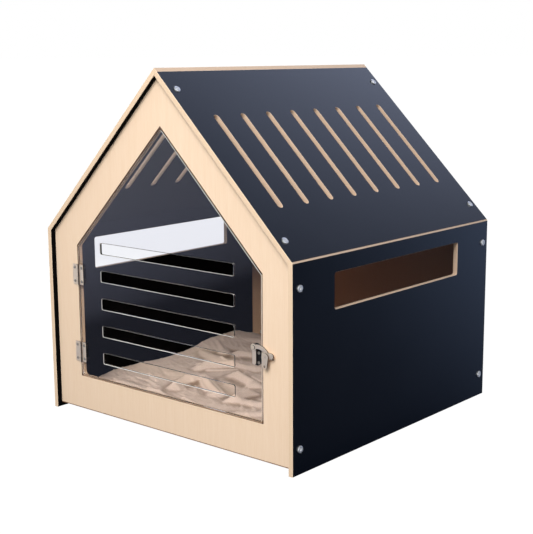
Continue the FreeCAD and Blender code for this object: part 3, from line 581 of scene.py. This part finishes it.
# Blanket: a thin brushed cloth, cut a little larger than the floor and pushed in by hand, so it lies in broad
# soft folds that stand highest along the left wall. Its folds are set out as they lie in the crate, then the
# cloth is let fall and settle on the floor by simulation. It isn't fixed to anything.
def brushed_cloth():
    """Brushed cotton: a pinkish beige, a soft nap over the weave, a faint sheen along the folds, and brown
    painted shade in the creases."""
    material, tree, output = new_material("brushed_cotton")
    uv = add_node(tree, "UVMap", {"uv_map": "cloth"}).outputs[0]
    place = add_node(tree, "Mapping", inputs={"Vector": uv, "Scale": (*blanket_flat, 1)}).outputs[0]
    blotch = add_node(tree, "TexNoise", inputs={"Vector": place, "Scale": 9, "Detail": 4}).outputs["Fac"]
    tone = add_node(tree, "Mix", colour_mix,
                    {0: blotch, 6: linear("#d8c3b6"), 7: linear("#c0aa9b")}).outputs[2]
    nap = add_node(tree, "TexNoise", inputs={"Vector": place, "Scale": 420, "Detail": 3}).outputs["Fac"]
    shade = add_node(tree, "MapRange", inputs={"Value": nap, "From Min": 0.3, "From Max": 0.7,
                                               "To Min": 0.0, "To Max": 0.18}).outputs[0]
    colour = add_node(tree, "Mix", colour_mix, {0: shade, 6: tone, 7: linear("#98795f")}).outputs[2]
    # Painted shade: the creases are browned by how deep they lie.
    painted_crease_shade = add_node(tree, "Attribute", {"attribute_name": "painted_crease_shade"}).outputs["Fac"]
    painted_shade_share = add_node(tree, "MapRange", inputs={"Value": painted_crease_shade, "To Max": 0.8}).outputs[0]
    colour = add_node(tree, "Mix", colour_mix, {0: painted_shade_share, 6: colour, 7: linear("#6e543f")}).outputs[2]
    # The real weave, under 1 mm, is too fine to show, so it is drawn 10 mm wide. A wave texture of scale 1
    # has 20 waves in 2 pi metres.
    weave_width = 10.05 * MM
    threads = [add_node(tree, "TexWave", {"wave_type": "BANDS", "bands_direction": way}, {
        "Vector": place, "Scale": 2 * pi / 20 / weave_width, "Distortion": 1.5}).outputs["Fac"]
        for way in ("X", "Y")]
    weave = add_node(tree, "Math", {"operation": "MULTIPLY"}, {0: threads[0], 1: threads[1]}).outputs[0]
    fluff = add_node(tree, "Math", {"operation": "ADD"}, {0: weave, 1: nap}).outputs[0]
    bump = add_node(tree, "Bump", inputs={"Height": fluff, "Strength": 0.25, "Distance": 0.3 * MM})
    shader = add_node(tree, "BsdfPrincipled", inputs={
        "Base Color": colour, "Roughness": 0.85, "Specular IOR Level": 0.25, "Sheen Weight": 0.25,
        "Sheen Roughness": 0.4, "Sheen Tint": linear("#f3e6dc"), "Normal": bump.outputs[0]})
    tree.links.new(shader.outputs[0], output.inputs["Surface"])
    return material


blanket_low, blanket_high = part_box("blanket")
blanket_flat = (0.64, 0.65)
blanket_thickness = 2.2 * MM
cloth_gap = 2.0 * MM
thread_step = 6 * MM

# Each fold: where its crest starts and ends (x, y), how wide it is and how high it stands, in mm.
folds = ((-122, -55, -138, -100, 30, 12), (-138, -100, -130, -140, 30, 12), (-115, -68, -35, -120, 32, 10),
         (-250, -188, -120, -192, 38, 9), (-120, -192, -50, -212, 32, 9), (16, -82, 20, -130, 28, 14),
         (20, -130, 100, -118, 36, 10), (-185, -8, -140, 46, 30, 14), (-140, 46, -90, 60, 34, 12),
         (-88, -4, -15, -34, 34, 13), (-270, 70, -205, 60, 40, 10), (-285, -60, -200, -72, 40, 6),
         (-270, 140, -225, 105, 34, 14), (-190, 120, -95, 150, 40, 15), (70, -200, 120, -150, 36, 9),
         (40, -30, 150, -20, 44, 12), (170, -190, 250, -120, 48, 12), (-60, 90, 60, 60, 42, 16),
         (-60, 185, 30, 160, 42, 16), (60, 140, 160, 90, 44, 15), (200, -60, 240, 60, 48, 14),
         (10, 225, 150, 205, 44, 14), (210, 120, 230, 220, 44, 14), (-250, 205, -190, 240, 44, 14))
# Narrow wrinkles that stand on the folds, in the same way.
wrinkles = ((-113, -72, -33, -123, 8, 4), (-83, -78, -28, -113, 6, 3), (-113, -86, -63, -120, 6, 3),
            (-123, -60, -138, -100, 9, 4), (-138, -100, -130, -138, 9, 4), (17, -88, 12, -108, 8, 4),
            (12, -108, 22, -130, 8, 4), (-68, -175, -3, -192, 7, 3), (-63, -184, -23, -207, 6, 3),
            (-33, -200, 5, -214, 6, 3), (-133, -185, -123, -205, 6, 3), (-103, -195, -88, -212, 6, 3),
            (-158, -181, -118, -190, 9, 4), (-118, -190, -78, -208, 9, 4), (-233, -110, -193, -127, 7, 4),
            (-208, -135, -170, -150, 7, 3), (-183, 0, -143, 40, 8, 5), (-163, -12, -118, 30, 7, 4),
            (-213, 10, -183, 35, 7, 4), (-83, -5, -23, -30, 8, 4), (-60, 15, -10, -5, 6, 3),
            (-268, 135, -233, 110, 8, 4), (-283, 170, -268, 150, 6, 3), (-150, 120, -60, 95, 8, 4),
            (-200, 70, -140, 62, 7, 4), (-120, 78, -60, 62, 7, 3), (127, -200, 130, -225, 6, 3),
            (60, -60, 140, -90, 8, 3), (120, 40, 200, 20, 8, 3), (40, 120, 120, 150, 8, 4),
            (150, -150, 210, -120, 7, 3), (-20, 60, 40, 90, 8, 3), (180, 180, 240, 150, 8, 3))
# Where the cloth leans on the left wall: the place along the wall and the height above the floor, in mm.
left_edge = ((-275, 4), (-200, 6), (-150, 12), (-100, 11), (-11, 7), (30, 8), (74, 12), (112, 20), (152, 23),
             (205, 24), (275, 8))


def crest_height(crests, x, y):
    """The height of a list of folds or wrinkles at a place, in mm. Crossing crests run into one another."""
    total = 0.0
    for x1, y1, x2, y2, width, height in crests:
        run_x, run_y = x2 - x1, y2 - y1
        share = ((x - x1) * run_x + (y - y1) * run_y) / (run_x * run_x + run_y * run_y)
        share = min(max(share, 0), 1)
        away_x, away_y = x - x1 - run_x * share, y - y1 - run_y * share
        nearness = (away_x * away_x + away_y * away_y) / (width * 0.5) ** 2
        if nearness < 9:
            total += (height * exp(-nearness)) ** 3
    return total ** (1 / 3)


def edge_height(y):
    """The cloth's height along the left wall, in mm."""
    for (y1, z1), (y2, z2) in zip(left_edge, left_edge[1:]):
        if y <= y2:
            share = min(max((y - y1) / (y2 - y1), 0), 1)
            return z1 + (z2 - z1) * share * share * (3 - 2 * share)
    return left_edge[-1][1]


def crease_height(x, y):
    """Fine creases, in mm: crests and hollows along the level lines of a noise that is stretched from the
    crate's left rear to its right front, where the cloth was pushed together. They fade in and out."""
    along, across = 0.9 * x - 0.45 * y, 0.45 * x + 0.9 * y
    wave = noise.noise(Vector((along / 75, across / 26, 0.0)))
    fine = noise.noise(Vector((along / 40, across / 12, 5.0)))
    strength = 0.5 + 0.5 * noise.noise(Vector((x / 60, y / 60, 9.0)))
    crest = max(0.0, 1 - abs(wave) / 0.1) ** 2
    crease = max(0.0, 1 - abs(wave - 0.22) / 0.09) ** 2
    ripple = max(0.0, 1 - abs(fine) / 0.15)
    crest_top, crease_depth, ripple_top = 3.0, 1.6, 1.2
    return strength * (crest_top * crest - crease_depth * crease + ripple_top * ripple)


def averaged(grid, reach):
    """A grid of heights, each one averaged with its neighbours along its row, and turned a quarter."""
    evened = []
    for row in grid:
        near = [row[max(at - reach, 0):at + reach + 1] for at in range(len(row))]
        evened.append([sum(heights) / len(heights) for heights in near])
    return [list(column) for column in zip(*evened)]


# The cloth starts as a flat grid. Its flat size is kept in a shape key, as the size that the threads want to
# keep, and the grid is pushed together into the crate and raised into its folds.
bpy.ops.object.select_all(action="DESELECT")
columns, rows = round(blanket_flat[0] / thread_step), round(blanket_flat[1] / thread_step)
bpy.ops.mesh.primitive_grid_add(x_subdivisions=columns, y_subdivisions=rows, size=1, calc_uvs=True)
blanket = bpy.context.object
blanket.name = "laid_blanket"
blanket.data.uv_layers[0].name = "cloth"
flat_places = [vertex.co.copy() for vertex in blanket.data.vertices]
lying_width = blanket_high.x - blanket_low.x - 2 * blanket_thickness
lying_length = blanket_high.y - blanket_low.y - 2 * blanket_thickness
lean_width, rim_fade, rim_share = 0.09, 0.05, 0.15
rim = blanket.vertex_groups.new(name="rim")
lying_key = blanket.shape_key_add(name="lying")
flat_key = blanket.shape_key_add(name="flat")
for vertex, place in zip(blanket.data.vertices, flat_places):
    x, y = place.x * lying_width, place.y * lying_length
    to_rim = min(0.5 - abs(place.x), 0.5 - abs(place.y))
    wall_lean = edge_height(y / MM) * max(0.0, 1 - (x + lying_width / 2) / lean_width)
    fold = crest_height(folds, x / MM, y / MM) * min(1.0, to_rim / rim_fade + rim_share)
    rise = max(fold, wall_lean)
    vertex.co = (x, y, floor_top + cloth_gap + (3 + rise) * MM)
    lying_key.data[vertex.index].co = vertex.co
    flat_key.data[vertex.index].co = (place.x * blanket_flat[0], place.y * blanket_flat[1], floor_top)
    if to_rim < 0.001:
        rim.add([vertex.index], 1.0, "REPLACE")

# It settles on a bench in the floor's place, with its rim held where it meets the walls.
bpy.ops.mesh.primitive_cube_add(size=1, location=(0, 0, floor_top - 0.05))
bench = bpy.context.object
bench.scale = (0.9, 0.9, 0.1)
bpy.ops.object.modifier_add(type="COLLISION")
bench.collision.thickness_outer = cloth_gap
bench.collision.cloth_friction = 15
cloth = blanket.modifiers.new("settling", "CLOTH")
cloth.settings.quality = 8
cloth.settings.mass = 0.004
cloth.settings.tension_stiffness = 25
cloth.settings.compression_stiffness = 25
cloth.settings.shear_stiffness = 8
cloth.settings.bending_stiffness = 0.4
cloth.settings.air_damping = 1
cloth.settings.vertex_group_mass = "rim"
cloth.settings.rest_shape_key = flat_key
cloth.collision_settings.distance_min = cloth_gap
cloth.collision_settings.use_self_collision = True
cloth.collision_settings.self_distance_min = cloth_gap
cloth.collision_settings.collision_quality = 4
settling_frames = 30
cloth.point_cache.frame_end = settling_frames
for step in range(1, settling_frames + 1):
    bpy.context.scene.frame_set(step)
settled = bpy.data.meshes.new_from_object(
    blanket.evaluated_get(bpy.context.evaluated_depsgraph_get()))
blanket.modifiers.clear()
blanket.shape_key_clear()
blanket.data = settled
bpy.data.objects.remove(bench)
bpy.context.scene.frame_set(1)

# How deep each point lies among its neighbours is kept as an attribute, 1 for 3 mm, which paints brown shade
# into the creases.
bpy.ops.object.select_all(action="DESELECT")
blanket.select_set(True)
bpy.context.view_layer.objects.active = blanket
row_length = columns + 1
heights = [vertex.co.z for vertex in blanket.data.vertices]
grid = [heights[start:start + row_length] for start in range(0, len(heights), row_length)]
level = averaged(averaged(grid, 4), 4)
depths = [(even - high) / (3 * MM) for even_row, row in zip(level, grid)
          for even, high in zip(even_row, row)]
blanket.data.attributes.new("painted_crease_shade", "FLOAT", "POINT").data.foreach_set("value", depths)
rounding = blanket.modifiers.new("rounding", "SUBSURF")
rounding.levels = rounding.render_levels = 1
bpy.ops.object.modifier_apply(modifier="rounding")
painted_crease_shade = blanket.data.attributes["painted_crease_shade"].data
for vertex in blanket.data.vertices:
    x, y = vertex.co.x / MM, vertex.co.y / MM
    rise = max(crest_height(wrinkles, x, y), crease_height(x, y))
    vertex.co.z += rise * MM
    # The painted crease shade is raised a little everywhere and lifted off the wrinkles' crests.
    painted_crease_shade[vertex.index].value += 0.05 - 0.35 * rise
solidify = blanket.modifiers.new("thickness", "SOLIDIFY")
solidify.thickness = blanket_thickness
solidify.offset = 0
bpy.ops.object.modifier_apply(modifier="thickness")
bpy.ops.object.shade_smooth()
blanket.vertex_groups.clear()
blanket.data.materials.clear()
blanket.data.materials.append(brushed_cloth())
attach(blanket, "house")
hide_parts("blanket")
